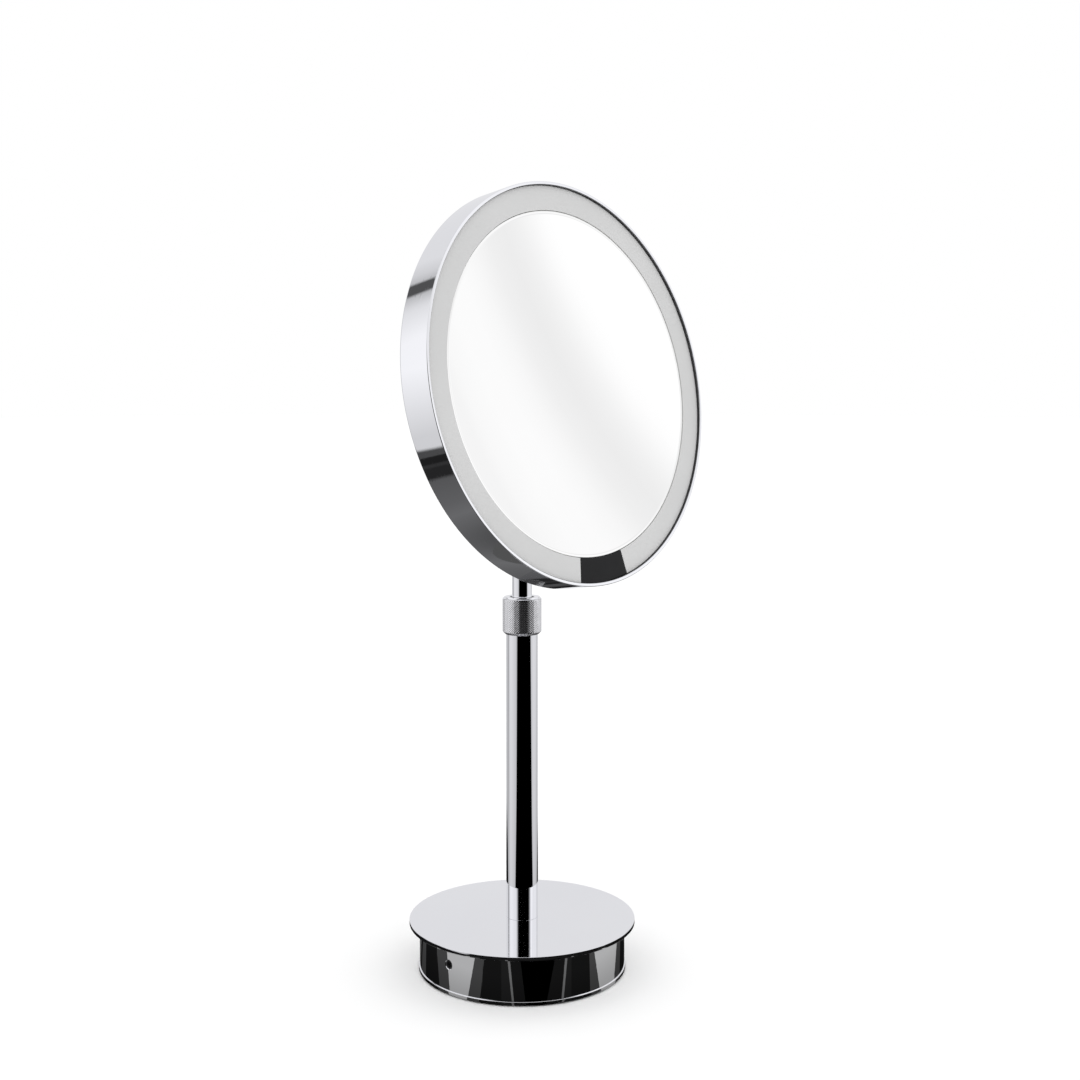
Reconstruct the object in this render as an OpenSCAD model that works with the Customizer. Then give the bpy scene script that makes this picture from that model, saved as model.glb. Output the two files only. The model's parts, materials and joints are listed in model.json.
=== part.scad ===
// Lighted vanity mirror: a round lit head on a telescopic post, with a weighted base that
// holds the rechargeable cells. Millimetres. The origin is the centre of the base's underside,
// on the post's axis; +Z is up and the face of the mirror looks towards -Y.

/* [Head] */
// Outside diameter of the mirror head
head_d = 215; // [180:1:260]
// Depth of the head, from its back to its lip
head_depth = 19.8; // [19:0.1:30]
// Wall of the housing, seen from the front as a bright lip
lip_w = 1.7; // [1.2:0.1:3]
// Thickness of the housing's back
back_t = 1.2; // [0.8:0.1:2]
// Rounding of the housing's back edge
back_round = 1.2; // [0.5:0.1:2]
// How far the lit ring lies below the lip
ring_recess = 1.8; // [0.8:0.1:3]
// Width of the lit ring
ring_w = 13.2; // [9:0.1:20]
// Thickness of the lit ring and of the sensor window
ring_t = 2.4; // [1.5:0.1:3]
// Angle that the sensor window takes out of the lit ring
window_angle = 20.7; // [12:0.1:30]
// Turn of the sensor window from straight down
window_turn = 2.8; // [-20:0.1:20]
// Depth of the dish of the concave mirror at its centre
mirror_dish = 6.9; // [2:0.1:7.3]
// Thickness of the mirror glass
glass_t = 3; // [2:0.1:4]
// Number of light diodes in a full circle
led_count = 60; // [24:1:72]

/* [Hinge] */
// Tilt of the face above level, as it stands
tilt = 9; // [-4:1:60]
// Distance from the tilt axis to the back of the head
head_gap = 21; // [19:0.5:30]
// Diameter of the hinge eye
eye_d = 16; // [13:0.5:18]
// Diameter of the tilt pin
pin_d = 6; // [5:0.1:8]
// Thickness of each ear of the fork
ear_t = 5; // [4.2:0.1:8]
// Diameter of the fork's flange
flange_d = 40; // [38:0.5:60]
// Thickness of the fork's flange
flange_t = 3.5; // [2.5:0.1:5]

/* [Post and rod] */
// Length of the post between the base plate and the collar
post_len = 157; // [130:1:260]
// Outside diameter of the post
post_d = 17.5; // [16.5:0.1:24]
// Wall of the post
post_wall = 1.35; // [1:0.05:1.4]
// Diameter of the rod
rod_d = 11; // [9:0.1:11.2]
// Wall of the rod
rod_wall = 1.5; // [1:0.1:2]
// Rod shown between the collar and the tilt axis
rod_out = 110.5; // [100:0.5:140]
// Length of the rod's tube
rod_len = 179; // [165:1:185]
// Upward travel left in the post
travel_up = 25; // [10:1:30]

/* [Clamp collar] */
// How far the knurl stands out from the post
collar_stand = 2; // [1.5:0.1:4]
// Height of the collar
collar_h = 20.5; // [18:0.5:30]
// Number of slots in the clamping collet
collet_slots = 4; // [3:1:6]
// Width of each slot
slot_w = 1; // [0.6:0.1:1.5]

/* [Base] */
// How far the top plate overhangs the drum
plate_overhang = 5.6; // [2:0.1:15]
// Thickness of the top plate
plate_t = 2.2; // [1.8:0.1:4]
// Diameter of the drum
drum_d = 113; // [112:0.5:160]
// Wall of the drum
drum_wall = 1.5; // [1:0.1:2]
// Height of the whole base
base_h = 28; // [28:0.5:45]
// Thickness of the bottom cover, seen as a trim ring
cover_t = 2; // [1.5:0.1:3]
// How far the cover's edge stands out from the drum
cover_lip = 0.5; // [0.2:0.1:1.5]
// Thickness of the foot pad
pad_t = 0.6; // [0.5:0.1:2]
// Height of the charging socket's axis above the table
socket_z = 16.4; // [16:0.1:18]
// Diameter of the charging hole in the drum
socket_hole_d = 4.8; // [4:0.1:6]

/* [Electrics] */
// Diameter of a battery cell
cell_d = 18.3; // [14:0.1:18.5]
// Length of a battery cell
cell_len = 65; // [50:0.5:68]
// Width of the charge board
board_w = 24; // [20:0.5:26]
// Thickness of the circuit boards
board_t = 1.2; // [0.8:0.1:1.6]
// Diameter of the two-core lead
lead_d = 2; // [1.5:0.1:2.2]

/* [Hidden] */

$fn = 96;
cut = 1;              // how far a cutting tool runs past the face it cuts
snug = 0.02;          // gap of pieces fixed together
run = 0.05;           // radial clearance of turning and sliding fits
loose = 0.3;          // gap of pieces that pass each other
fine_edge = 0.3;      // small chamfer on turned edges

// Base, from the table up
cover_z = pad_t;
drum_z = cover_z + cover_t;
plate_z = base_h - plate_t;
drum_r = drum_d / 2;
plate_r = drum_r + plate_overhang;
drum_in_r = drum_r - drum_wall;
cover_r = drum_r + cover_lip;
pad_r = drum_in_r - 0.5;
spigot_h = 2.3;                           // step under the plate that centres the drum
spigot_z = plate_z - spigot_h;
screw_r = 2;                              // long base screws
screw_head_r = 3.9;
screw_head_h = 2;
screw_circle = drum_in_r - 7;
screw_angles = [90, 210, 330];
screw_top_z = base_h - 1;

// Ballast and what lies in it
ballast_r = drum_in_r - loose;
ballast_floor = 2.4;
channel_w = board_w + 2.6;                // middle channel for the board and the post's nut
channel_z = drum_z + ballast_floor;
channel_end = 16;
bay_wall = 3;
bay_floor = 1.4;
cradle_wall = 0.9;
cradle_floor = 0.8;
tab_t = 0.3;
bay_gap = 0.2;
cradle_w = cell_d + 2 * (cradle_wall + bay_gap / 2);
cradle_l = cell_len + 2 * (tab_t + cradle_wall + bay_gap);
bay_w = cradle_w + 2 * bay_gap;
bay_l = cradle_l + 2 * bay_gap;
cell_y = channel_w / 2 + bay_wall + bay_w / 2;
cradle_z = drum_z + bay_floor;
cell_z = cradle_z + cradle_floor + cell_d / 2;
cradle_h = cell_d * 0.72;

// Charge board and socket
socket_l = 11;
socket_w = 9;
socket_half_h = 3.6;
socket_nose_r = socket_hole_d / 2 - 0.1;
plug_bore_r = 1.75;
plug_pin_r = 0.65;
board_z = socket_z - socket_half_h - board_t;
board_x0 = -(drum_in_r - 1.8);
board_l = 39.2;
board_x1 = board_x0 + board_l;
standoff_r = 2.4;
standoff_x = [board_x0 + 14, board_x1 - 3];
standoff_y = board_w / 2 - 2.6;
small_screw_r = 1;

// Post and what clamps it to the plate
post_r = post_d / 2;
post_in_r = post_r - post_wall;
stud_r = 6;
stud_bore_r = 2.5;
stud_up = 8;                              // stud inside the post
stud_top_z = base_h + stud_up;
washer_t = 1;
nut_t = 4.5;
nut_flats = 17;
stud_z = spigot_z - washer_t - nut_t - 1.5;
key_w = 1.6;
key_out = 0.45;

// Collar and collet
collar_z = base_h + post_len;
collar_top_z = collar_z + collar_h;
collar_r = post_r + collar_stand;
post_in_collar = 2;                       // end of the post inside the collar
post_top_z = collar_z + post_in_collar;
thread_r = post_r - 0.35;
thread_h = collar_h / 2;
finger_z = post_top_z + thread_h;
finger_top_z = collar_top_z - 2.5;
finger_foot_r = thread_r - 0.35;
finger_lean = 1.4;                        // how much the fingers' cone narrows
collar_rim = 0.6;                         // raised face on the collar's top
collar_foot = 1.4;                        // chamfer at the collar's foot
sink = 0.6;                               // countersink round the rod

// Rod, measured down from the tilt axis
pivot_z = collar_top_z + rod_out;
rod_r = rod_d / 2;
rod_in_r = rod_r - rod_wall;
neck_h = 12;
rod_top_z = pivot_z - neck_h;
rod_low_z = rod_top_z - rod_len;
plug_flange_t = 1.5;
plug_len = 12;
plug_flange_r = post_in_r - 0.35;
guide_gap = 0.15;
guide_z = rod_low_z + guide_gap;
guide_h = 13.8;
ring_gap = 0.15;
ring_z = guide_z + guide_h + ring_gap;
ring_thick = 0.8;
ring_groove = 0.25;
collet_low_z = ring_z + ring_thick + travel_up + 0.5;
stop_r = 0.45;                            // peg that limits the swivel
stop_circle = (rod_r + run + post_in_r - run) / 2;
stop_h = 1.3;
stop_open = 172;                          // half angle of the groove that the peg runs in

// Lead: straight runs and bends of one radius
lead_r = lead_d / 2;
bend_r = 1.2 * lead_d;
coil_r = post_in_r - 1.2;
coil_end = 4;                             // cone at each end, where the last turn comes to the axis
coil_z = stud_top_z + 1;
coil_top_z = rod_low_z - plug_flange_t - 1;

// Hinge, in the head's own axes: X across, Y up the face, Z out of the face, origin on the pin
pin_r = pin_d / 2;
pin_bore_r = lead_r + 0.5;
eye_r = eye_d / 2;
eye_half = rod_r + 0.1;
washer_gap = 0.05;
rub_t = 0.5;                              // friction washers
ear_in = eye_half + rub_t + 2 * washer_gap;
ear_out = ear_in + ear_t;
ear_mid = (ear_in + ear_out) / 2;
ear_foot = 12;                            // half width of an ear where it meets the flange
cap_r = pin_r + 2.2;
cap_h = 1.8;
nut_h = 2.8;
tilt_low = -4;                            // the tilt's two limits
tilt_high = 60;
lead_half = 1.8;                          // half width of the pin's window for the lead
window_ease = asin((lead_r + loose) / pin_bore_r);
window_from = tilt_low - window_ease;     // the window's two edges, from straight down the face
window_to = tilt_high + window_ease;

// Head, along Z of the head's own axes
head_r = head_d / 2;
back_z = head_gap;
floor_z = back_z + back_t;
lip_z = back_z + head_depth;
ring_front_z = lip_z - ring_recess;
ring_back_z = ring_front_z - ring_t;
head_in_r = head_r - lip_w;
ring_out_r = head_in_r - 0.15;
ring_in_r = ring_out_r - ring_w;
mirror_r = ring_in_r - 0.25;
mirror_edge_z = ring_front_z - 0.4;
mirror_curve = (pow(mirror_r, 2) + pow(mirror_dish, 2)) / (2 * mirror_dish);
curve_z = mirror_edge_z - mirror_dish + mirror_curve;
flange_z = back_z - flange_t;
flange_r = flange_d / 2;
lead_hole_r = ear_mid + lead_r + 0.9;
fix_r = 1.5;                              // four screws through the flange
fix_head_r = 2.75;
fix_circle = (ear_out + flange_r) / 2 - 0.3;
fix_len = 8;

// Carrier inside the head
web_z = floor_z + 4.8;
web_t = 1.2;
web_top_z = web_z + web_t;
outer_wall = 1.5;
seat_wall = 1;
inner_wall = 1.5;
land_w = 4;
carrier_r = head_in_r - 0.4;
channel_out_r = carrier_r - outer_wall;
seat_r = mirror_r + 0.2;
channel_in_r = seat_r + seat_wall;
land_z = mirror_edge_z - glass_t - 1.1;
rib_ring_r = 0.61 * head_r;
rib_count = 24;
rib_t = 1.4;
rib_gap = 0.2;
led_circle = (channel_in_r + channel_out_r) / 2;
led_l = 3;
led_w = 2.8;
led_h = 0.8;
window_at = -90 + window_turn;
window_gap = 0.1;                         // degrees between window and lit ring
sensor_z = web_top_z + board_t + 3;
sensor_posts = [window_at - window_angle / 3, window_at + window_angle / 3];
sensor_post_r = 1.2;
sensor_arc = window_angle * 0.9;
driver_l = 44;
driver_w = 34;
driver_y = flange_r + 6;
driver_z = web_z - board_t;
plug_w = 8;
plug_d = 5;
plug_h = 2.9;
lead_plane_z = floor_z + lead_r + 1;

// Puts the head's own axes on the tilt pin, at the standing tilt
module in_head() {
    translate([0, 0, pivot_z]) rotate([90 - tilt, 0, 0]) children();
}

// Turned ring with chamfered corners
module turned_ring(outer, inner, h, edge = fine_edge) {
    rotate_extrude()
        polygon([[inner, 0], [outer - edge, 0], [outer, edge], [outer, h - edge],
            [outer - edge, h], [inner, h]]);
}

// Bend that starts at the origin along +Z and turns towards +X
module elbow(angle) {
    translate([bend_r, 0, 0]) rotate([90, 0, 180])
        rotate_extrude(angle = angle) translate([bend_r, 0]) circle(lead_r, $fn = 48);
}

// Lead made of steps, each a straight length, then a bend of an angle towards a direction
module lead(steps, i = 0) {
    if (i < len(steps)) {
        step = steps[i];
        cylinder(r = lead_r, h = step[0], $fn = 48);
        translate([0, 0, step[0]]) rotate([0, 0, step[2]]) {
            if (step[1] > 0) elbow(step[1]);
            if (i + 1 < len(steps))
                translate([bend_r, 0, 0]) rotate([0, step[1], 0]) translate([-bend_r, 0, 0])
                    rotate([0, 0, -step[2]]) lead(steps, i + 1);
        }
    }
}

// Screw with a countersunk hexagon-socket head, head at the origin and shank along +Z
module sunk_screw(shank, head, head_h, length) {
    difference() {
        rotate_extrude()
            polygon([[0, 0], [head, 0], [head, 0.2], [shank, head_h], [shank, length - 0.4],
                [shank - 0.4, length], [0, length]]);
        translate([0, 0, -cut]) cylinder(r = shank * 0.62, h = head_h + cut - 0.4, $fn = 6);
    }
}

// The room that such a screw needs in the piece it passes
module screw_hole(shank, head, head_h, length) {
    translate([0, 0, -cut]) cylinder(r = shank + 0.2, h = length + 2 * cut);
    translate([0, 0, -snug]) cylinder(r1 = head + 0.35, r2 = shank + 0.2, h = head_h);
}

module at_base_screws() {
    for (a = screw_angles) rotate([0, 0, a]) translate([screw_circle, 0, 0]) children();
}

module at_cells() {
    for (side = [-1, 1]) translate([0, side * cell_y, 0]) children();
}

module at_standoffs() {
    for (x = standoff_x, side = [-1, 1]) translate([x, side * standoff_y, 0]) children();
}

module at_fixings() {
    for (a = [0:90:270]) rotate([0, 0, a]) translate([fix_circle, 0, 0]) children();
}

// ---- Base ----

module foot_pad() {
    color("dimgray") cylinder(r = pad_r, h = pad_t);
}

module bottom_cover() {
    color("silver") difference() {
        translate([0, 0, cover_z]) rotate_extrude()
            polygon([[0, 0], [cover_r, 0], [cover_r, cover_t - fine_edge],
                [cover_r - fine_edge, cover_t], [0, cover_t]]);
        translate([0, 0, cover_z]) at_base_screws()
            screw_hole(screw_r, screw_head_r, screw_head_h, cover_t);
    }
}

module base_drum() {
    color("silver") difference() {
        translate([0, 0, drum_z]) difference() {
            cylinder(r = drum_r, h = plate_z - drum_z);
            translate([0, 0, -cut]) cylinder(r = drum_in_r, h = plate_z - drum_z + 2 * cut);
        }
        translate([-drum_in_r + cut, 0, socket_z]) rotate([0, -90, 0])
            cylinder(d = socket_hole_d, h = drum_wall + 2 * cut);
        translate([-drum_r + fine_edge, 0, socket_z]) rotate([0, -90, 0])
            cylinder(r1 = socket_hole_d / 2, r2 = socket_hole_d / 2 + 2 * fine_edge,
                h = 2 * fine_edge);
    }
}

// Polished top plate with a step underneath that centres the drum
module base_plate() {
    color("gainsboro") difference() {
        union() {
            translate([0, 0, plate_z]) turned_ring(plate_r, 0, plate_t);
            translate([0, 0, spigot_z]) cylinder(r = drum_in_r - run, h = spigot_h + cut);
        }
        translate([0, 0, spigot_z - cut]) cylinder(r = stud_r + snug, h = base_h);
        at_base_screws() translate([0, 0, spigot_z - cut])
            cylinder(r = screw_r + snug, h = screw_top_z + 0.2 - spigot_z + cut);
    }
}

// Cast weight with two cell bays, a channel for the board, and standoffs
module ballast() {
    ballast_h = spigot_z - drum_z;
    color("#4a4a4d") union() {
        difference() {
            translate([0, 0, drum_z]) turned_ring(ballast_r, 0, ballast_h, 1);
            translate([-bay_l / 2, 0, 0]) at_cells()
                translate([0, -bay_w / 2, cradle_z]) cube([bay_l, bay_w, ballast_h]);
            translate([-ballast_r - cut, -channel_w / 2, channel_z])
                cube([ballast_r + cut + channel_end - channel_w / 2, channel_w, ballast_h]);
            translate([channel_end - channel_w / 2, 0, channel_z])
                cylinder(d = channel_w, h = ballast_h);
            at_base_screws() translate([0, 0, drum_z - cut])
                cylinder(r = screw_r + 0.2, h = ballast_h + 2 * cut);
            // wire gates from the channel into the bays
            translate([board_x1 - 8, -cell_y, channel_z + ballast_h / 2])
                cube([5, 2 * cell_y, ballast_h]);
        }
        difference() {
            at_standoffs() translate([0, 0, channel_z - 0.5])
                cylinder(r = standoff_r, h = board_z - channel_z + 0.5);
            at_standoffs() translate([0, 0, channel_z])
                cylinder(r = small_screw_r + snug, h = board_z);
        }
    }
}

module base_screws() {
    color("darkgray") at_base_screws() translate([0, 0, cover_z])
        sunk_screw(screw_r, screw_head_r, screw_head_h, screw_top_z - cover_z);
}

// Cells lie along X; each has a crimped neck and a raised contact
module battery_cells() {
    nub = 0.8;
    can = cell_len - nub;
    color("steelblue") at_cells() translate([-cell_len / 2, 0, cell_z]) rotate([0, 90, 0])
        rotate_extrude()
            polygon([[0, 0], [cell_d / 2 - 0.6, 0], [cell_d / 2, 0.6], [cell_d / 2, can - 4.5],
                [cell_d / 2 - 0.7, can - 4], [cell_d / 2 - 0.7, can - 3],
                [cell_d / 2, can - 2.5], [cell_d / 2, can - 0.5], [cell_d / 2 - 0.5, can],
                [2.9, can], [2.9, cell_len], [0, cell_len]]);
}

// Open moulded troughs that hold the cells in the bays
module cell_cradles() {
    cell_room = cell_len + 2 * (tab_t + bay_gap / 2);
    color("#222222") at_cells() difference() {
        translate([-cradle_l / 2, -cradle_w / 2, cradle_z]) cube([cradle_l, cradle_w, cradle_h]);
        translate([-cell_room / 2, 0, cell_z]) rotate([0, 90, 0])
            cylinder(d = cell_d + bay_gap, h = cell_room);
        translate([-cell_room / 2, -cell_d / 2 - bay_gap / 2, cell_z])
            cube([cell_room, cell_d + bay_gap, cradle_h]);
    }
}

module cell_tabs() {
    tab_w = 8;
    color("lightgray") at_cells() for (end = [-1, 1])
        translate([end * (cell_len + tab_t) / 2, 0, cell_z]) cube([tab_t, tab_w, 12], center = true);
}

module charge_board() {
    color("darkgreen") difference() {
        translate([board_x0, -board_w / 2, board_z]) cube([board_l, board_w, board_t]);
        at_standoffs() translate([0, 0, board_z - cut])
            cylinder(r = small_screw_r + 0.2, h = board_t + 2 * cut);
    }
}

// Coil, controller, connector and capacitors on the charge board
module charge_parts() {
    top = board_z + board_t;
    mid = (board_x0 + socket_l + board_x1) / 2;
    color("#303030") {
        translate([mid - 3, -7, top]) cylinder(r = 3.2, h = 3.6);
        translate([mid + 4, -9, top]) cube([5, 4, 1.1]);
        translate([mid - 6, 3, top]) cube([6, 5, 1.3]);
        for (x = [1:3]) translate([mid + 2.5 * x, 6.5, top]) cube([1.2, 2, 0.9]);
        translate([board_x1 - 9, -3, top]) cube([5, 6, 2 * lead_r + 0.8]);
    }
}

module board_screws() {
    color("darkgray") at_standoffs() translate([0, 0, board_z + board_t]) rotate([180, 0, 0])
        difference() {
            union() {
                cylinder(r = small_screw_r, h = 5);
                translate([0, 0, -1.2]) cylinder(r = 1.9, h = 1.2);
            }
            translate([0, 0, -1.2 - cut]) cylinder(r = 0.8, h = cut + 0.7, $fn = 6);
        }
}

// Barrel socket: its nose fills the hole in the drum
module charging_socket() {
    nose = drum_r - 0.3 + board_x0;
    color("#181818") translate([board_x0, 0, socket_z]) {
        difference() {
            union() {
                translate([0, -socket_w / 2, -socket_half_h])
                    cube([socket_l, socket_w, 2 * socket_half_h]);
                translate([cut, 0, 0]) rotate([0, -90, 0])
                    cylinder(r = socket_nose_r, h = nose + cut);
            }
            translate([9, 0, 0]) rotate([0, -90, 0]) cylinder(r = plug_bore_r, h = 9 + nose + cut);
        }
        translate([9 + cut, 0, 0]) rotate([0, -90, 0]) cylinder(r = plug_pin_r, h = 9 + cut);
    }
}

// ---- Post ----

// Hollow stud: its shoulder is in the post and its shank passes the plate
module post_stud() {
    color("darkgoldenrod") rotate_extrude()
        polygon([[stud_bore_r, stud_z], [stud_r - 0.5, stud_z], [stud_r, stud_z + 0.5],
            [stud_r, base_h], [post_in_r - snug, base_h], [post_in_r - snug, stud_top_z - 0.6],
            [post_in_r - 0.6, stud_top_z], [stud_bore_r, stud_top_z]]);
}

module post_washer() {
    color("silver") translate([0, 0, spigot_z - washer_t]) difference() {
        cylinder(r = 10, h = washer_t);
        translate([0, 0, -cut]) cylinder(r = stud_r + 0.1, h = washer_t + 2 * cut);
    }
}

module post_nut() {
    color("silver") translate([0, 0, spigot_z - washer_t - nut_t]) difference() {
        cylinder(r = nut_flats / 2 / cos(30), h = nut_t, $fn = 6);
        translate([0, 0, -cut]) cylinder(r = stud_r + snug, h = nut_t + 2 * cut);
    }
}

// Post with a keyway up its back wall, which keeps the guide from turning
module post_tube() {
    key_floor = post_in_r + key_out + 0.1;
    color("silver") difference() {
        translate([0, 0, base_h]) rotate_extrude()
            polygon([[post_in_r, 0], [post_r, 0], [post_r, post_top_z - base_h - fine_edge],
                [post_r - fine_edge, post_top_z - base_h], [post_in_r, post_top_z - base_h]]);
        translate([-key_w / 2 - 0.2, 0, stud_top_z])
            cube([key_w + 0.4, key_floor, collet_low_z - stud_top_z]);
    }
}

// Split collet: a plain shank in the post, a threaded waist, and coned fingers round the rod
module collet() {
    bore = rod_r + run;
    color("goldenrod") difference() {
        rotate_extrude()
            polygon([[bore, collet_low_z], [post_in_r - snug - 0.5, collet_low_z],
                [post_in_r - snug, collet_low_z + 0.5], [post_in_r - snug, post_top_z],
                [thread_r, post_top_z], [thread_r, finger_z - 1], [finger_foot_r - 0.5, finger_z - 0.6],
                [finger_foot_r - 0.5, finger_z], [finger_foot_r, finger_z + 0.3],
                [finger_foot_r - finger_lean, finger_top_z], [bore, finger_top_z]]);
        for (i = [0:collet_slots - 1]) rotate([0, 0, (i + 0.5) * 360 / collet_slots])
            translate([0, -slot_w / 2, post_top_z + 3]) cube([post_d, slot_w, collar_h]);
    }
}

// Lead from the charge board, under the nut, and up through the stud to the coil
module base_lead() {
    start_x = board_x1 - 4;
    start_z = board_z + board_t + lead_r + 0.4;
    color("#202020") translate([start_x, 0, start_z]) rotate([0, 90, 0])
        lead([[-start_x - bend_r, 90, 180], [coil_z - start_z - bend_r, 0, 0]]);
}

// Envelope of the coiled lead, which shortens as the rod goes down
module coiled_lead() {
    color("#202020") rotate_extrude()
        polygon([[0, coil_z], [lead_r, coil_z], [coil_r, coil_z + coil_end],
            [coil_r, coil_top_z - coil_end], [lead_r, coil_top_z], [0, coil_top_z]]);
}

// ---- Clamp collar ----

module clamp_collar() {
    foot_r = post_r + 0.1;
    bore_r = rod_r + 0.5;
    cone_r = finger_foot_r + loose;
    color("gray") rotate_extrude()
        polygon([[foot_r, collar_z], [foot_r + 0.3, collar_z], [collar_r, collar_z + collar_foot],
            [collar_r, collar_top_z - collar_rim - 0.4], [collar_r - 0.4, collar_top_z - collar_rim],
            [collar_r - 1, collar_top_z - collar_rim], [collar_r - 1, collar_top_z - 0.15],
            [collar_r - 1.15, collar_top_z], [bore_r + sink, collar_top_z],
            [bore_r, collar_top_z - sink], [bore_r, finger_top_z + loose],
            [cone_r - finger_lean, finger_top_z + loose], [cone_r, finger_z + 0.3],
            [thread_r + run, finger_z], [thread_r + run, post_top_z + loose],
            [foot_r, post_top_z + loose]]);
}

// ---- Rod ----

// Nylon guide: its key runs in the post, and the rod turns in it as far as the stop peg lets it
module slide_guide() {
    inner = rod_r + run;
    outer = post_in_r - run;
    groove_r = stop_r + 0.15;
    color("ivory") translate([0, 0, guide_z]) difference() {
        union() {
            rotate_extrude()
                polygon([[inner, 0], [outer - 0.4, 0], [outer, 0.4], [outer, guide_h - 0.4],
                    [outer - 0.4, guide_h], [inner, guide_h]]);
            translate([-key_w / 2, (inner + outer) / 2, 0.4])
                cube([key_w, post_in_r + key_out - 0.05 - (inner + outer) / 2, guide_h - 0.8]);
        }
        rotate([0, 0, -90 - stop_open]) translate([0, 0, -cut]) rotate_extrude(angle = 2 * stop_open)
            translate([stop_circle - groove_r, 0]) square([2 * groove_r, cut + stop_h + 0.2]);
    }
}

module rod_tube() {
    color("silver") difference() {
        translate([0, 0, rod_low_z]) cylinder(r = rod_r, h = rod_len);
        translate([0, 0, rod_low_z - cut]) cylinder(r = rod_in_r, h = rod_len + 2 * cut);
        translate([0, 0, ring_z - 0.05]) difference() {
            cylinder(r = rod_r + cut, h = ring_thick + 0.1);
            translate([0, 0, -cut]) cylinder(r = rod_r - ring_groove, h = ring_thick + 2 * cut);
        }
    }
}

// Plug in the foot of the rod: its flange carries the guide and the stop peg
module rod_end_plug() {
    color("goldenrod") difference() {
        union() {
            translate([0, 0, rod_low_z - plug_flange_t])
                cylinder(r = plug_flange_r, h = plug_flange_t);
            translate([0, 0, rod_low_z - 0.5]) cylinder(r = rod_in_r - snug, h = plug_len + 0.5);
            translate([0, -stop_circle, rod_low_z - 0.5]) cylinder(r = stop_r, h = stop_h + 0.5, $fn = 32);
        }
        translate([0, 0, rod_low_z - plug_flange_t - cut])
            cylinder(r = lead_r + 0.2, h = plug_len + plug_flange_t + 2 * cut);
    }
}

module retaining_ring() {
    color("dimgray") translate([0, 0, ring_z]) rotate([0, 0, 20]) rotate_extrude(angle = 320)
        translate([rod_r - ring_groove + snug, 0]) square([post_in_r - 0.7 - rod_r + ring_groove, ring_thick]);
}

// Lead from the coil through the rod, turning into the bore of the tilt pin
module rod_lead() {
    color("#202020") translate([0, 0, coil_top_z])
        lead([[pivot_z - bend_r - coil_top_z, 90, 0], [lead_half - 0.2, 0, 0]]);
}

// Eye on top of the rod, for the tilt pin
module hinge_eye() {
    color("silver") difference() {
        union() {
            translate([0, 0, rod_top_z]) cylinder(r = rod_r, h = neck_h);
            translate([0, 0, rod_top_z - plug_len]) cylinder(r = rod_in_r - snug, h = plug_len + 0.5);
            translate([-eye_half, 0, pivot_z]) rotate([0, 90, 0]) rotate_extrude()
                polygon([[0, 0], [eye_r - 0.5, 0], [eye_r, 0.5], [eye_r, 2 * eye_half - 0.5],
                    [eye_r - 0.5, 2 * eye_half], [0, 2 * eye_half]]);
        }
        translate([-rod_d, 0, pivot_z]) rotate([0, 90, 0]) cylinder(r = pin_r + run, h = 2 * rod_d);
        translate([0, 0, rod_top_z - plug_len - cut])
            cylinder(r = lead_r + 0.6, h = plug_len + neck_h + cut);
    }
}

// ---- Hinge, on the head ----

// One ear's outline: a round end on the pin, with tangent sides down to the flange
module ear_outline() {
    reach = norm([ear_foot, flange_z]);
    lean = atan2(flange_z, ear_foot) - acos(eye_r / reach);
    touch = [eye_r * cos(lean), eye_r * sin(lean)];
    circle(eye_r);
    polygon([[-ear_foot, flange_z + 0.5], [ear_foot, flange_z + 0.5], [ear_foot, flange_z], touch,
        [-touch[0], touch[1]], [-ear_foot, flange_z]]);
}

module hinge_fork() {
    color("silver") in_head() difference() {
        union() {
            translate([0, 0, flange_z]) rotate_extrude()
                polygon([[0, 0], [flange_r - 1, 0], [flange_r, 1], [flange_r, flange_t], [0, flange_t]]);
            for (x = [-ear_out, ear_in]) translate([x, 0, 0]) rotate([90, 0, 90])
                linear_extrude(ear_t) ear_outline();
        }
        translate([-ear_out - cut, 0, 0]) rotate([0, 90, 0])
            cylinder(r = pin_r + snug, h = 2 * (ear_out + cut));
        translate([ear_mid, 0, 0]) cylinder(r = lead_r + 0.3, h = back_z + cut);
        translate([0, 0, flange_z]) at_fixings() screw_hole(fix_r, fix_head_r, 1.6, flange_t);
    }
}

// Hollow pin: the lead enters by a window at its middle and leaves inside one ear
module hinge_pin() {
    tail = nut_h - 0.8;
    turn = window_to - window_from;
    color("silver") in_head() difference() {
        translate([-ear_out, 0, 0]) rotate([0, 90, 0]) rotate_extrude()
            polygon([[0, -cap_h], [cap_r - 0.8, -cap_h], [cap_r, -cap_h + 0.8], [cap_r, 0],
                [pin_r, 0], [pin_r, 2 * ear_out + tail - 0.3], [pin_r - 0.3, 2 * ear_out + tail],
                [0, 2 * ear_out + tail]]);
        translate([-lead_half, 0, 0]) rotate([0, 90, 0])
            cylinder(r = pin_bore_r, h = ear_out + tail + lead_half + cut, $fn = 64);
        translate([ear_mid, 0, 0]) cylinder(r = pin_bore_r + 0.1, h = pin_r + cut, $fn = 64);
        translate([-lead_half, 0, 0]) rotate([0, 90, 0]) rotate([0, 0, -90 + window_from])
            rotate_extrude(angle = turn) square([pin_r + cut, 2 * lead_half]);
    }
}

module pin_nut() {
    color("silver") in_head() translate([ear_out, 0, 0]) rotate([0, 90, 0]) difference() {
        rotate_extrude()
            polygon([[0, 0], [cap_r, 0], [cap_r, nut_h - 0.8], [cap_r - 0.8, nut_h], [0, nut_h]]);
        translate([0, 0, -cut]) cylinder(r = pin_r + snug, h = nut_h - 0.6 + cut);
    }
}

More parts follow.
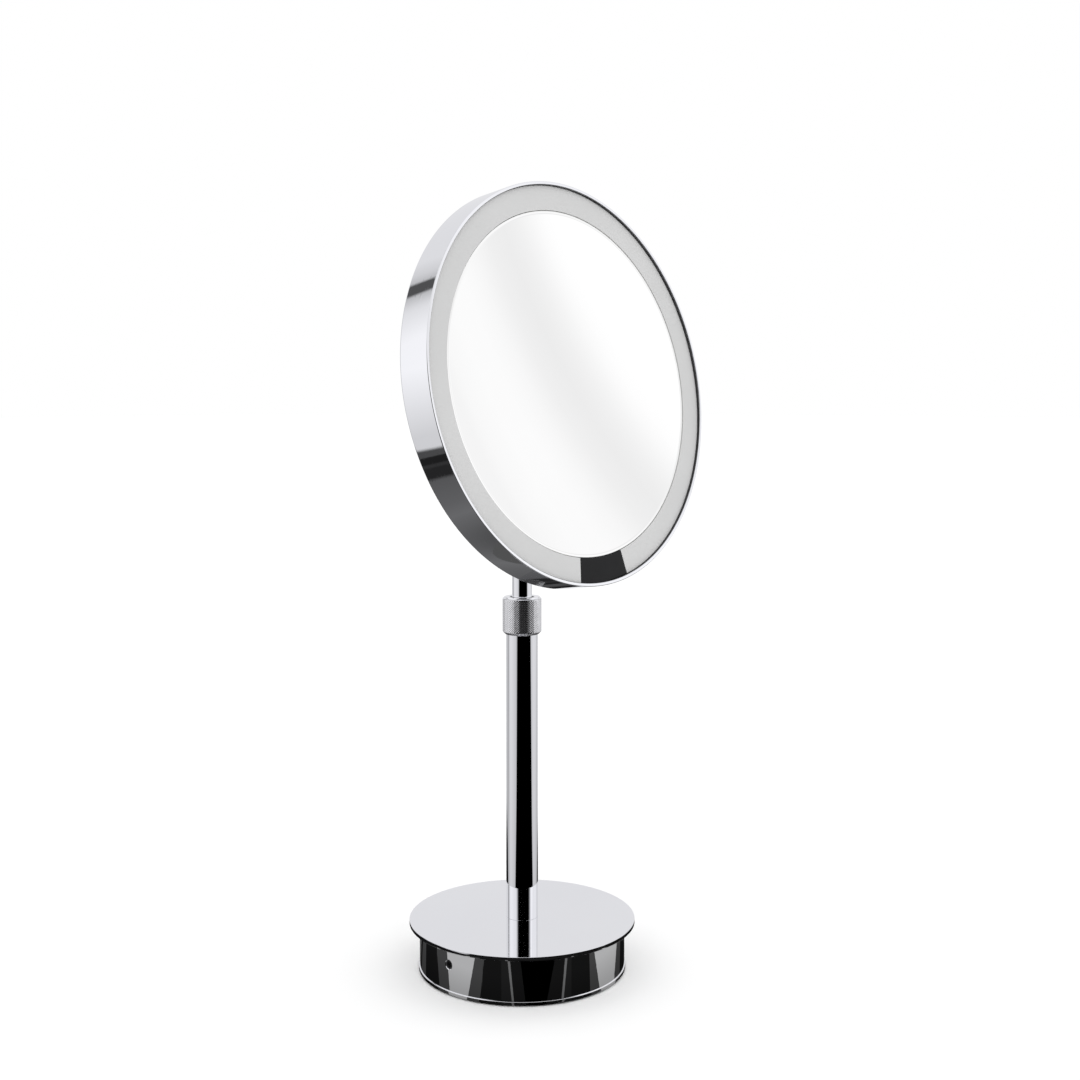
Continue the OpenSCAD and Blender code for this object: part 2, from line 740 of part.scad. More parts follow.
module friction_washers() {
    color("black") in_head() for (x = [-ear_in + washer_gap, eye_half + washer_gap])
        translate([x, 0, 0]) rotate([0, 90, 0]) difference() {
            cylinder(r = eye_r - 0.5, h = rub_t);
            translate([0, 0, -cut]) cylinder(r = pin_r + snug, h = rub_t + 2 * cut);
        }
}

module flange_screws() {
    color("darkgray") in_head() translate([0, 0, flange_z]) at_fixings()
        sunk_screw(fix_r, fix_head_r, 1.6, fix_len);
}

// ---- Head ----

// Deep-drawn pan: back, side wall and lip in one
module head_housing() {
    color("silver") in_head() difference() {
        rotate_extrude() difference() {
            translate([0, back_z]) square([head_r, head_depth]);
            translate([-cut, floor_z]) square([head_in_r + cut, head_depth]);
            translate([head_r - back_round, back_z]) difference() {
                translate([0, -cut]) square([back_round + cut, back_round + cut]);
                translate([0, back_round]) circle(back_round);
            }
            translate([head_r, lip_z]) rotate(45) square(fine_edge, center = true);
            translate([head_in_r, lip_z]) rotate(45) square(fine_edge, center = true);
        }
        translate([0, 0, back_z - cut]) cylinder(r = lead_hole_r, h = back_t + 2 * cut);
        at_fixings() translate([0, 0, back_z - cut]) cylinder(r = fix_r + 0.2, h = back_t + 2 * cut);
    }
}

// Moulded carrier: web, light channel, mirror seat, ribs and screw posts
module carrier() {
    color("white") in_head() difference() {
        union() {
            rotate_extrude() {
                translate([0, web_z]) square([carrier_r - 0.5, web_t]);
                translate([channel_out_r, floor_z + rib_gap])
                    square([outer_wall, ring_back_z - floor_z - rib_gap]);
                translate([rib_ring_r, floor_z + rib_gap])
                    square([rib_t, web_z - floor_z - rib_gap + 0.1]);
                polygon([[channel_in_r - inner_wall, web_top_z - 0.1], [channel_in_r, web_top_z - 0.1],
                    [channel_in_r, ring_back_z], [seat_r, ring_back_z], [seat_r, land_z],
                    [seat_r - land_w, land_z], [seat_r - land_w, land_z - 1],
                    [channel_in_r - inner_wall, land_z + seat_wall - 1 - land_w + inner_wall]]);
            }
            for (i = [0:rib_count - 1]) rotate([0, 0, (i + 0.5) * 360 / rib_count])
                translate([rib_ring_r + rib_t / 2, -rib_t / 2, floor_z + rib_gap])
                    cube([channel_out_r - rib_ring_r, rib_t, web_z - floor_z - rib_gap + 0.1]);
            at_fixings() translate([0, 0, floor_z]) cylinder(r = 3.6, h = web_z - floor_z + 0.1);
            for (a = sensor_posts) rotate([0, 0, a]) translate([led_circle, 0, web_top_z - 0.1])
                cylinder(r = sensor_post_r, h = sensor_z - web_top_z + 0.1, $fn = 32);
        }
        at_fixings() translate([0, 0, floor_z - cut])
            cylinder(r = fix_r + snug, h = fix_len - flange_t - back_t + 0.3 + cut);
    }
}

module light_board() {
    color("whitesmoke") in_head() difference() {
        translate([0, 0, web_top_z]) cylinder(r = channel_out_r - 0.4, h = board_t);
        translate([0, 0, web_top_z - cut]) cylinder(r = channel_in_r + 0.4, h = board_t + 2 * cut);
        for (a = sensor_posts) rotate([0, 0, a]) translate([led_circle, 0, web_top_z - cut])
            cylinder(r = sensor_post_r + 0.3, h = board_t + 2 * cut, $fn = 32);
    }
}

module light_diodes() {
    function off_window(a) = abs((a - window_at + 540) % 360 - 180);
    color("khaki") in_head() for (i = [0:led_count - 1]) let (a = i * 360 / led_count)
        if (off_window(a) > window_angle / 2 + 1) rotate([0, 0, a])
            translate([led_circle - led_w / 2, -led_l / 2, web_top_z + board_t])
                cube([led_w, led_l, led_h]);
}

// Flat ring with eased front edges, over part of a turn
module ring_segment(from, angle) {
    rotate([0, 0, from]) rotate_extrude(angle = angle)
        polygon([[ring_in_r, ring_back_z], [ring_out_r, ring_back_z],
            [ring_out_r, ring_front_z - 0.15], [ring_out_r - 0.15, ring_front_z],
            [ring_in_r + 0.15, ring_front_z], [ring_in_r, ring_front_z - 0.15]]);
}

module light_ring() {
    color("white") in_head() ring_segment(window_at + window_angle / 2, 360 - window_angle);
}

module sensor_window() {
    color("#151515") in_head()
        ring_segment(window_at - window_angle / 2 + window_gap, window_angle - 2 * window_gap);
}

// Section of the concave glass between two circles about one centre
module glass_section(thick) {
    intersection() {
        translate([0, curve_z - mirror_curve - thick - cut]) square([mirror_r, head_depth]);
        translate([0, curve_z]) difference() {
            circle(mirror_curve + thick, $fn = 1440);
            circle(mirror_curve, $fn = 1440);
        }
    }
}

module mirror_glass() {
    color("lightblue") in_head() rotate_extrude() glass_section(glass_t);
}

// Foam ring between the carrier's land and the back of the glass
module mirror_pad() {
    function glass_back(r) = curve_z - sqrt(pow(mirror_curve + glass_t, 2) - pow(r, 2)) - snug;
    inner = seat_r - land_w + 0.2;
    outer = mirror_r - 0.2;
    color("dimgray") in_head() rotate_extrude()
        polygon([[inner, land_z], [outer, land_z], [outer, glass_back(outer)],
            [inner, glass_back(inner)]]);
}

module sensor_board() {
    color("darkgreen") in_head() rotate([0, 0, window_at - sensor_arc / 2])
        rotate_extrude(angle = sensor_arc)
            translate([channel_in_r + 0.5, sensor_z])
                square([channel_out_r - channel_in_r - 1, board_t]);
}

module sensor_eyes() {
    eye_top = 1.8;
    color("black") in_head() for (side = [-1, 1])
        rotate([0, 0, window_at + side * window_angle / 5])
            translate([led_circle, 0, sensor_z + board_t]) {
                translate([-2, -2, 0]) cube([4, 4, 1]);
                cylinder(r = 1.5, h = eye_top, $fn = 32);
            }
}

module driver_board() {
    color("darkgreen") in_head() translate([-driver_l / 2, driver_y, driver_z])
        cube([driver_l, driver_w, board_t]);
}

// Lead plug, coil, chip and capacitors under the driver board
module driver_parts() {
    color("#303030") in_head() translate([0, driver_y, driver_z]) mirror([0, 0, 1]) {
        translate([ear_mid - plug_w / 2, 0, 0]) cube([plug_w, plug_d, plug_h]);
        translate([-9, 10, 0]) cylinder(r = 4, h = 2.6);
        translate([2, 12, 0]) cube([6, 5, 1.2]);
        for (x = [0:4]) translate([-16 + 7 * x, 24, 0]) cube([2, 3.2, 1]);
    }
}

// Lead from the pin, up one ear and into the head, to the driver board
module head_lead() {
    color("#202020") in_head() translate([lead_half - 0.2 + bend_r, 0, 0]) rotate([0, 90, 0])
        lead([[ear_mid - lead_half + 0.2 - 2 * bend_r, 90, 180],
            [lead_plane_z - 2 * bend_r, 90, 90], [driver_y - bend_r, 0, 0]]);
}

foot_pad();
bottom_cover();
base_drum();
base_plate();
ballast();
base_screws();
battery_cells();
cell_cradles();
cell_tabs();
charge_board();
charge_parts();
board_screws();
charging_socket();
post_stud();
post_washer();
post_nut();
post_tube();
collet();
base_lead();
coiled_lead();
clamp_collar();
slide_guide();
rod_tube();
rod_end_plug();
retaining_ring();
rod_lead();
hinge_eye();
hinge_fork();
hinge_pin();
pin_nut();
friction_washers();
flange_screws();
head_housing();
carrier();
light_board();
light_diodes();
light_ring();
mirror_glass();
mirror_pad();
sensor_window();
sensor_board();
sensor_eyes();
driver_board();
driver_parts();
head_lead();
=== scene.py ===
import json
import math

import bmesh
import bpy
from mathutils import Matrix, Vector


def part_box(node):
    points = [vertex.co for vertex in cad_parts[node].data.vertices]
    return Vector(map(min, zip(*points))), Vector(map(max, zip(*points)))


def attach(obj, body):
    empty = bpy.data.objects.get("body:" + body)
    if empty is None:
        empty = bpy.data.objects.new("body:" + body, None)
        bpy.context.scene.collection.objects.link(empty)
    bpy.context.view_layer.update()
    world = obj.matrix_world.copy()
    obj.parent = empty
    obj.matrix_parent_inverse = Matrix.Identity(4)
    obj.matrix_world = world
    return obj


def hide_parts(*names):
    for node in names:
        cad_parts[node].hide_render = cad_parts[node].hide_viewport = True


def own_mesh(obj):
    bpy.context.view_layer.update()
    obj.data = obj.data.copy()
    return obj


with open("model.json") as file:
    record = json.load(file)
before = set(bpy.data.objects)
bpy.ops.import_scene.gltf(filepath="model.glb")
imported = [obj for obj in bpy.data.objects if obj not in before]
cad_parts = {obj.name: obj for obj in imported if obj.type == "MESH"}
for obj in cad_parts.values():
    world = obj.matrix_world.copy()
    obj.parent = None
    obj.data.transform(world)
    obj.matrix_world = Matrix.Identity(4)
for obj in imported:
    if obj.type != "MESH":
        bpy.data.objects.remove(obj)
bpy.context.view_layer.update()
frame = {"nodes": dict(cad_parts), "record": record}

mm = 0.001
scene = bpy.context.scene
scene.view_settings.view_transform = "Standard"  # white paper stays white
print("frame loaded,", len(frame["nodes"]), "nodes")


def lowest(node):
    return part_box(node)[0] / mm


def highest(node):
    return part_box(node)[1] / mm


# The head's own axes sit on the tilt pin: X across, Y up the face, Z out of the face.
tiltDegrees = 9
pinHeight = (lowest("pin_nut").z + highest("pin_nut").z) / 2
toHead = (Matrix.Translation((0, 0, pinHeight * mm))
          @ Matrix.Rotation(math.radians(90 - tiltDegrees), 4, "X"))


# Camera

cameraLook = {"place": (-0.5935, -0.5563, 0.3147), "pitch": 87.408, "turn": -47.549,
              "lens": 49.72, "sensor": 36, "shift": -0.07}

cameraData = bpy.data.cameras.new("camera")
cameraData.sensor_width = cameraLook["sensor"]
cameraData.lens = cameraLook["lens"]
cameraData.shift_y = cameraLook["shift"]
camera = bpy.data.objects.new("camera", cameraData)
camera.location = cameraLook["place"]
camera.rotation_euler = (math.radians(cameraLook["pitch"]), 0, math.radians(cameraLook["turn"]))
scene.collection.objects.link(camera)
scene.camera = camera
towardCamera = math.degrees(math.atan2(cameraLook["place"][1], cameraLook["place"][0]))
print("camera placed")


# Node helpers

def newNode(tree, kind, inputs=None, **settings):
    node = tree.nodes.new(kind)
    for key, value in settings.items():
        setattr(node, key, value)
    for key, value in (inputs or {}).items():
        if isinstance(value, bpy.types.NodeSocket):
            tree.links.new(value, node.inputs[key])
        else:
            node.inputs[key].default_value = value
    return node


def maths(tree, operation, first, second=0.0, clamp=False):
    return newNode(tree, "ShaderNodeMath", {0: first, 1: second}, operation=operation,
                   use_clamp=clamp).outputs[0]


def spread(tree, value, fromLow, fromHigh, toLow=0.0, toHigh=1.0, kind="LINEAR"):
    return newNode(tree, "ShaderNodeMapRange", {"Value": value, "From Min": fromLow,
                   "From Max": fromHigh, "To Min": toLow, "To Max": toHigh},
                   interpolation_type=kind).outputs[0]


def mixed(tree, factor, first, second, blend="MIX"):
    node = newNode(tree, "ShaderNodeMix", data_type="RGBA", blend_type=blend)
    for key, value in ((0, factor), (6, first), (7, second)):
        if isinstance(value, bpy.types.NodeSocket):
            tree.links.new(value, node.inputs[key])
        else:
            node.inputs[key].default_value = value if key == 0 else (*value[:3], 1)
    return node.outputs[2]


def ramped(tree, value, stops, kind="LINEAR"):
    node = newNode(tree, "ShaderNodeValToRGB", {"Fac": value})
    ramp = node.color_ramp
    ramp.interpolation = kind
    while len(ramp.elements) > 1:
        ramp.elements.remove(ramp.elements[-1])
    ramp.elements[0].position = stops[0][0]
    for place, tone in stops[1:]:
        ramp.elements.new(place)
    for element, (place, tone) in zip(ramp.elements, stops):
        element.color = (tone, tone, tone, 1) if isinstance(tone, (int, float)) else (*tone, 1)
    return node.outputs["Color"]


def objectPoint(tree, scale=(1, 1, 1), turn=(0, 0, 0)):
    source = newNode(tree, "ShaderNodeTexCoord").outputs["Object"]
    if scale == (1, 1, 1) and turn == (0, 0, 0):
        return source
    return newNode(tree, "ShaderNodeMapping", {"Vector": source, "Scale": scale,
                   "Rotation": [math.radians(a) for a in turn]}).outputs[0]


def noise(tree, scale, detail=3, roughness=0.55, point=None):
    return newNode(tree, "ShaderNodeTexNoise", {"Vector": point or objectPoint(tree),
                   "Scale": scale, "Detail": detail, "Roughness": roughness}).outputs["Fac"]


def bumped(tree, height, depth, strength=1.0, under=None):
    inputs = {"Height": height, "Distance": depth, "Strength": strength}
    if under:
        inputs["Normal"] = under
    return newNode(tree, "ShaderNodeBump", inputs).outputs["Normal"]


# Every finish has two tones that cloud into each other, roughness that wanders between two
# values, and a fine grain. A scratch is a depth and a share. Depths are in metres.
finishes = {
    "chrome": {"tones": ((0.88, 0.882, 0.9), (0.9, 0.902, 0.915)), "cloud": 9,
               "roughness": (0.012, 0.035), "smudge": 30, "metallic": 1,
               "grain": (900, 0.000002), "scratch": (0.000003, 0.16)},
    "knurled_steel": {"tones": ((0.8, 0.8, 0.81), (0.86, 0.86, 0.87)), "cloud": 300,
                      "roughness": (0.08, 0.14), "smudge": 500, "metallic": 1,
                      "grain": (4500, 0.000004)},
    "steel": {"tones": ((0.5, 0.5, 0.5), (0.62, 0.61, 0.6)), "cloud": 200,
              "roughness": (0.22, 0.4), "smudge": 400, "metallic": 1,
              "grain": (3000, 0.00001), "scratch": (0.00001, 0.4)},
    "brass": {"tones": ((0.68, 0.47, 0.2), (0.83, 0.63, 0.32)), "cloud": 120,
              "roughness": (0.2, 0.42), "smudge": 260, "metallic": 1,
              "grain": (2500, 0.00001), "scratch": (0.00001, 0.4)},
    "cast_weight": {"tones": ((0.05, 0.051, 0.053), (0.1, 0.1, 0.102)), "cloud": 60,
                    "roughness": (0.5, 0.75), "smudge": 200, "metallic": 0.35,
                    "grain": (700, 0.00018)},
    "mirror": {"tones": ((0.958, 0.955, 0.93), (0.967, 0.964, 0.94)), "cloud": 12,
               "roughness": (0.0, 0.003), "smudge": 16, "metallic": 1,
               "grain": (400, 0.0000002)},
    "frosted_acrylic": {"tones": ((0.555, 0.556, 0.556), (0.58, 0.581, 0.581)), "cloud": 14,
                        "roughness": (0.42, 0.55), "smudge": 60, "metallic": 0, "specular": 0.2,
                        "grain": (5200, 0.000012), "subsurface": 0.1},
    "black_glass": {"tones": ((0.006, 0.006, 0.0065), (0.009, 0.009, 0.0095)), "cloud": 40,
                    "roughness": (0.04, 0.09), "smudge": 60, "metallic": 0, "specular": 0.13,
                    "grain": (600, 0.000001)},
    "white_plastic": {"tones": ((0.74, 0.74, 0.72), (0.8, 0.8, 0.785)), "cloud": 50,
                      "roughness": (0.4, 0.55), "smudge": 120, "metallic": 0,
                      "grain": (3800, 0.00002)},
    "black_plastic": {"tones": ((0.014, 0.014, 0.015), (0.026, 0.026, 0.028)), "cloud": 80,
                      "roughness": (0.42, 0.6), "smudge": 220, "metallic": 0,
                      "grain": (4200, 0.00003)},
    "nylon": {"tones": ((0.66, 0.63, 0.54), (0.74, 0.71, 0.63)), "cloud": 90,
              "roughness": (0.38, 0.52), "smudge": 160, "metallic": 0,
              "grain": (2600, 0.00002), "subsurface": 0.1},
    "pad_rubber": {"tones": ((0.03, 0.03, 0.031), (0.055, 0.055, 0.056)), "cloud": 70,
                   "roughness": (0.68, 0.85), "smudge": 300, "metallic": 0,
                   "grain": (2200, 0.00009)},
    "foam": {"tones": ((0.09, 0.09, 0.092), (0.16, 0.16, 0.16)), "cloud": 900,
             "roughness": (0.85, 0.95), "smudge": 500, "metallic": 0,
             "grain": (1600, 0.00025)},
    "lead_cover": {"tones": ((0.012, 0.012, 0.013), (0.022, 0.022, 0.023)), "cloud": 100,
                   "roughness": (0.4, 0.56), "smudge": 260, "metallic": 0,
                   "grain": (2600, 0.00002)},
    "cell_wrap": {"tones": ((0.03, 0.12, 0.3), (0.045, 0.15, 0.36)), "cloud": 60,
                  "roughness": (0.22, 0.36), "smudge": 180, "metallic": 0,
                  "grain": (1300, 0.00002)},
    "circuit_board": {"tones": ((0.008, 0.09, 0.035), (0.014, 0.13, 0.052)), "cloud": 60,
                      "roughness": (0.3, 0.42), "smudge": 240, "metallic": 0,
                      "grain": (2400, 0.00001)},
    "light_board": {"tones": ((0.76, 0.76, 0.75), (0.84, 0.84, 0.83)), "cloud": 60,
                    "roughness": (0.35, 0.5), "smudge": 240, "metallic": 0,
                    "grain": (2400, 0.00001)},
    "diode": {"tones": ((0.72, 0.5, 0.09), (0.86, 0.66, 0.2)), "cloud": 500,
              "roughness": (0.3, 0.45), "smudge": 700, "metallic": 0,
              "grain": (3000, 0.00002)},
}


# scratches: stretched along Z, turned a little in degrees, cut where the noise is high
scratchLook = {"scale": 700, "stretch": (1, 1, 0.02), "lean": (8, 14, 0), "low": 0.66,
               "high": 0.7, "dull": 0.05}
softRadius = 0.004  # how far light spreads inside a milky plastic, in metres
cloudSpan, smudgeSpan = (0.35, 0.65), (0.35, 0.68)  # the part of the noise that is used


def makeFinish(name, look):
    material = bpy.data.materials.new(name)
    material.use_nodes = True
    tree = material.node_tree
    shader = tree.nodes["Principled BSDF"]
    cloud = spread(tree, noise(tree, look["cloud"]), *cloudSpan)
    smudge = spread(tree, noise(tree, look["smudge"], 5, 0.6), *smudgeSpan)
    tree.links.new(mixed(tree, cloud, *look["tones"]), shader.inputs["Base Color"])
    rough = spread(tree, smudge, 0, 1, *look["roughness"])
    grainScale, grainDepth = look["grain"]
    normal = bumped(tree, noise(tree, grainScale, 2), grainDepth)
    if "scratch" in look:
        depth, share = look["scratch"]
        stretched = objectPoint(tree, scratchLook["stretch"], scratchLook["lean"])
        lines = noise(tree, scratchLook["scale"], 2, 0.5, stretched)
        cuts = spread(tree, lines, scratchLook["low"] - 0.1 * share, scratchLook["high"])
        normal = bumped(tree, cuts, depth, 1, normal)
        dulled = maths(tree, "MULTIPLY", cuts, scratchLook["dull"] * share)
        rough = maths(tree, "ADD", rough, dulled, True)
    tree.links.new(rough, shader.inputs["Roughness"])
    tree.links.new(normal, shader.inputs["Normal"])
    shader.inputs["Metallic"].default_value = look["metallic"]
    if "specular" in look:
        shader.inputs["Specular IOR Level"].default_value = look["specular"]
    if "subsurface" in look:
        shader.inputs["Subsurface Weight"].default_value = look["subsurface"]
        shader.inputs["Subsurface Radius"].default_value = (softRadius,) * 3
        shader.inputs["Subsurface Scale"].default_value = 0.5
    return material


materials = {name: makeFinish(name, look) for name, look in finishes.items()}
print("finishes made,", len(materials))

# CAD nodes that stay in view take the finish of the slot that the record gives them.
slotOf = {part["node"]: part["material_slot"] for part in frame["record"]["subparts"]}
for name, node in frame["nodes"].items():
    node.data.materials.clear()
    node.data.materials.append(materials[slotOf[name]])


# Mesh helpers, all in millimetres until a piece is finished

def spun(profile, steps=256, turn=360, start=0, closed=False):
    bm = bmesh.new()
    corners = [bm.verts.new((radius, 0, height)) for radius, height in profile]
    edges = [bm.edges.new(pair) for pair in zip(corners, corners[1:])]
    if closed:
        edges.append(bm.edges.new((corners[-1], corners[0])))
    shape = corners + edges
    full = turn == 360
    if not full:
        shape.append(bm.faces.new(corners))
    bmesh.ops.rotate(bm, verts=corners, cent=(0, 0, 0),
                     matrix=Matrix.Rotation(math.radians(start), 3, "Z"))
    bmesh.ops.spin(bm, geom=shape, cent=(0, 0, 0), axis=(0, 0, 1), dvec=(0, 0, 0),
                   angle=math.radians(turn), steps=steps, use_merge=full,
                   use_duplicate=False)
    bmesh.ops.remove_doubles(bm, verts=bm.verts, dist=0.0005)
    bmesh.ops.recalc_face_normals(bm, faces=bm.faces)
    return bm


def easeEdges(bm, width, sharper=25, segments=3, only=None):
    edges = [edge for edge in bm.edges if len(edge.link_faces) == 2
             and math.degrees(edge.calc_face_angle()) > sharper
             and (only is None or only(edge))]
    bmesh.ops.bevel(bm, geom=edges, offset=width, offset_type="OFFSET", affect="EDGES",
                    segments=segments, profile=0.5, material=-1, clamp_overlap=True)


def finishPiece(bm, name, body, slot, replaced, place=None, even=True):
    bm.transform((place or Matrix.Identity(4)) @ Matrix.Scale(mm, 4))
    mesh = bpy.data.meshes.new(name)
    bm.to_mesh(mesh)
    bm.free()
    mesh.polygons.foreach_set("use_smooth", [True] * len(mesh.polygons))
    mesh.materials.append(materials[slot])
    piece = bpy.data.objects.new(name, mesh)
    scene.collection.objects.link(piece)
    if even:
        piece.modifiers.new("even normals", "WEIGHTED_NORMAL").keep_sharp = True
    else:
        mesh.set_sharp_from_angle(angle=math.radians(35))
    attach(piece, body)
    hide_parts(*replaced)
    return piece


# Base: pad, cover with its trim edge, and top plate

padLook = {"edge": 0.15}
bm = spun([(0, lowest("foot_pad").z), (highest("foot_pad").x, lowest("foot_pad").z),
           (highest("foot_pad").x, highest("foot_pad").z), (0, highest("foot_pad").z)])
easeEdges(bm, padLook["edge"], segments=2)
finishPiece(bm, "footPad", "base", "pad_rubber", ["foot_pad"])

coverLook = {"edge": 0.3}
coverLow, coverHigh = lowest("bottom_cover"), highest("bottom_cover")
bm = spun([(0, coverLow.z), (coverHigh.x, coverLow.z), (coverHigh.x, coverHigh.z),
           (0, coverHigh.z)])
easeEdges(bm, coverLook["edge"], segments=2)
finishPiece(bm, "trimCover", "base", "chrome", ["bottom_cover"])

plateLook = {"spigot": 54.95, "bore": 6.02, "thick": 2.2, "edge": 0.22}
plateLow, plateHigh = lowest("base_plate"), highest("base_plate")
underPlate = plateHigh.z - plateLook["thick"]
bm = spun([(plateLook["bore"], plateLow.z), (plateLook["spigot"], plateLow.z),
           (plateLook["spigot"], underPlate), (plateHigh.x, underPlate),
           (plateHigh.x, plateHigh.z), (plateLook["bore"], plateHigh.z)], closed=True)
easeEdges(bm, plateLook["edge"])
finishPiece(bm, "topPlate", "base", "chrome", ["base_plate"])
print("base made")


# Post and rod

postLook = {"wall": 1.35, "edge": 0.2}
postLow, postHigh = lowest("post_tube"), highest("post_tube")
postInside = postHigh.x - postLook["wall"]
bm = spun([(postInside, postLow.z), (postHigh.x, postLow.z), (postHigh.x, postHigh.z),
           (postInside, postHigh.z)], 128, closed=True)
easeEdges(bm, postLook["edge"], segments=2)
finishPiece(bm, "postTube", "base", "chrome", ["post_tube"])

rodLook = {"wall": 1.5, "groove": 0.25, "grooveEase": 0.05}
rodLow, rodHigh = lowest("rod_tube"), highest("rod_tube")
rodInside = rodHigh.x - rodLook["wall"]
grooveRadius = rodHigh.x - rodLook["groove"]
grooveLow = lowest("retaining_ring").z - rodLook["grooveEase"]
grooveHigh = highest("retaining_ring").z + rodLook["grooveEase"]
bm = spun([(rodInside, rodLow.z), (rodHigh.x, rodLow.z), (rodHigh.x, grooveLow),
           (grooveRadius, grooveLow), (grooveRadius, grooveHigh), (rodHigh.x, grooveHigh),
           (rodHigh.x, rodHigh.z), (rodInside, rodHigh.z)], 96, closed=True)
finishPiece(bm, "rodTube", "rod", "chrome", ["rod_tube"])

# the coiled lead in the post, spun at one fixed length (the real lead closes up as the rod comes
# down)
coilLook = {"turns": 12, "bends": 6, "end": 4, "neck": 1, "depth": 0.8, "travel": 60,
            "spare": 1}
coilLow, coilHigh = lowest("coiled_lead").z, highest("coiled_lead").z
coilRadius = highest("coiled_lead").x
pitch = (coilHigh - coilLow - 2 * coilLook["end"]) / coilLook["turns"]
profile = [(0, coilLow), (coilLook["neck"], coilLow)]
for turn in range(coilLook["turns"]):
    middle = coilLow + coilLook["end"] + pitch * (turn + 0.5)
    for bend in range(coilLook["bends"] + 1):
        angle = math.radians(180 * bend / coilLook["bends"] - 90)
        dip = coilLook["depth"] * (1 - math.cos(angle))
        profile.append((coilRadius - dip, middle + pitch / 2 * math.sin(angle)))
profile += [(coilLook["neck"], coilHigh), (0, coilHigh)]
coil = finishPiece(spun(profile, 48), "coiledLead", "base", "lead_cover", ["coiled_lead"],
                   even=False)
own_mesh(coil)
print("post and rod made")


# Clamp collar: a polished shell, and a diamond knurl rolled round it

collarLook = {"rise": 0.148, "diamonds": 54, "rows": 15, "foot": 1.4, "step": 0.6,
              "shoulder": 0.4, "discIn": 1.0, "bore": 6.0, "sink": 1.1, "inside": 8.85,
              "neck": 4, "deep": 12, "edge": 0.12, "rimIn": 0.4, "rimRise": 0.12,
              "crestIn": 0.05, "footOut": 0.25}
collarLow, collarHigh = lowest("clamp_collar"), highest("clamp_collar")
crest = collarHigh.x
valley = crest - collarLook["rise"]
footRadius = postHigh.x + collarLook["footOut"]
footTop = collarLow.z + collarLook["foot"]
topZ = collarHigh.z
rimZ = topZ - collarLook["step"]
knurlTop = rimZ - collarLook["shoulder"]
discRadius = crest - collarLook["discIn"]
bore, sink, inside = collarLook["bore"], collarLook["sink"], collarLook["inside"]
bm = spun([(inside, collarLow.z), (footRadius, collarLow.z), (valley, footTop),
           (valley, knurlTop), (crest - collarLook["crestIn"], knurlTop + collarLook["rimRise"]),
           (crest - collarLook["rimIn"], rimZ), (discRadius, rimZ), (discRadius, topZ),
           (bore + sink, topZ), (bore, topZ - sink), (bore, topZ - collarLook["neck"]),
           (inside, topZ - collarLook["deep"])], 128, closed=True)
easeEdges(bm, collarLook["edge"], segments=2)
finishPiece(bm, "collarShell", "collar", "chrome", ["clamp_collar"])

# painted shade: the shadowed gap round the rod, drawn as a thin black ring sunk in the collar's
# mouth
gapShadeLook = {"inside": 5.62, "below": 0.3, "thick": 0.5, "clear": 0.05}
gapTop = topZ - gapShadeLook["below"]
gapOut = bore + sink - gapShadeLook["below"] - gapShadeLook["clear"]
bm = spun([(gapShadeLook["inside"], gapTop - gapShadeLook["thick"]),
           (gapOut - gapShadeLook["thick"], gapTop - gapShadeLook["thick"]), (gapOut, gapTop),
           (gapShadeLook["inside"], gapTop)], 96, closed=True)
finishPiece(bm, "collarGapShade", "collar", "black_plastic", [], even=False)

# the knurl: a grid round the collar, its cells turned into diamonds, each raised to a point
knurlLook = {"out": 0.02, "low": 0.02, "footOut": 0.05, "bend": 0.55, "short": 0.05}
rowHeight = (knurlTop - footTop) / collarLook["rows"]
bendZ = collarLow.z + collarLook["foot"] * knurlLook["bend"]
side = [(footRadius + knurlLook["footOut"], collarLow.z + knurlLook["low"]),
        ((footRadius + valley) / 2, bendZ), (valley, footTop)]
side += [(valley, footTop + rowHeight * (i + 1)) for i in range(collarLook["rows"])]
bm = spun([(radius + knurlLook["out"], height) for radius, height in side],
          collarLook["diamonds"])
if sum(face.normal.dot(face.calc_center_median() * Vector((1, 1, 0))) for face in bm.faces) < 0:
    bmesh.ops.reverse_faces(bm, faces=bm.faces)
gridEdges = [edge for edge in bm.edges if not edge.is_boundary]
bmesh.ops.poke(bm, faces=bm.faces, offset=0, center_mode="MEAN", use_relative_offset=False)
bmesh.ops.dissolve_edges(bm, edges=gridEdges, use_verts=False, use_face_split=False)
bmesh.ops.poke(bm, faces=[face for face in bm.faces if len(face.verts) == 4],
               offset=collarLook["rise"] - knurlLook["short"], center_mode="MEAN",
               use_relative_offset=False)
for vert in bm.verts:
    reach = math.hypot(vert.co.x, vert.co.y)
    if reach > crest:
        vert.co.x *= crest / reach
        vert.co.y *= crest / reach
knurl = finishPiece(bm, "collarKnurl", "collar", "knurled_steel", [], even=False)
knurl.data.polygons.foreach_set("use_smooth", [False] * len(knurl.data.polygons))
print("collar made,", len(knurl.data.polygons), "knurl faces")


# Head: housing, lit ring, sensor window and mirror

headLook = {"back": 21, "depth": 19.8, "wall": 1.7, "backThick": 1.2, "backRound": 1.2,
            "lipEdge": 0.36, "hole": 10.65, "near": 0.01}
headRadius = highest("head_housing").x
backZ, lipZ = headLook["back"], headLook["back"] + headLook["depth"]
insideRadius = headRadius - headLook["wall"]
floorZ = backZ + headLook["backThick"]
bm = spun([(headLook["hole"], backZ), (headRadius, backZ), (headRadius, lipZ),
           (insideRadius, lipZ), (insideRadius, floorZ), (headLook["hole"], floorZ)],
          320, closed=True)


def onCircle(edge, height, outside=0):
    return all(abs(v.co.z - height) < headLook["near"] and v.co.xy.length > outside
               for v in edge.verts)


easeEdges(bm, headLook["backRound"], segments=6,
          only=lambda edge: onCircle(edge, backZ, headRadius - headLook["wall"]))
easeEdges(bm, headLook["lipEdge"], segments=3, sharper=60,
          only=lambda edge: onCircle(edge, lipZ))
finishPiece(bm, "headHousing", "head", "chrome", ["head_housing"], toHead)
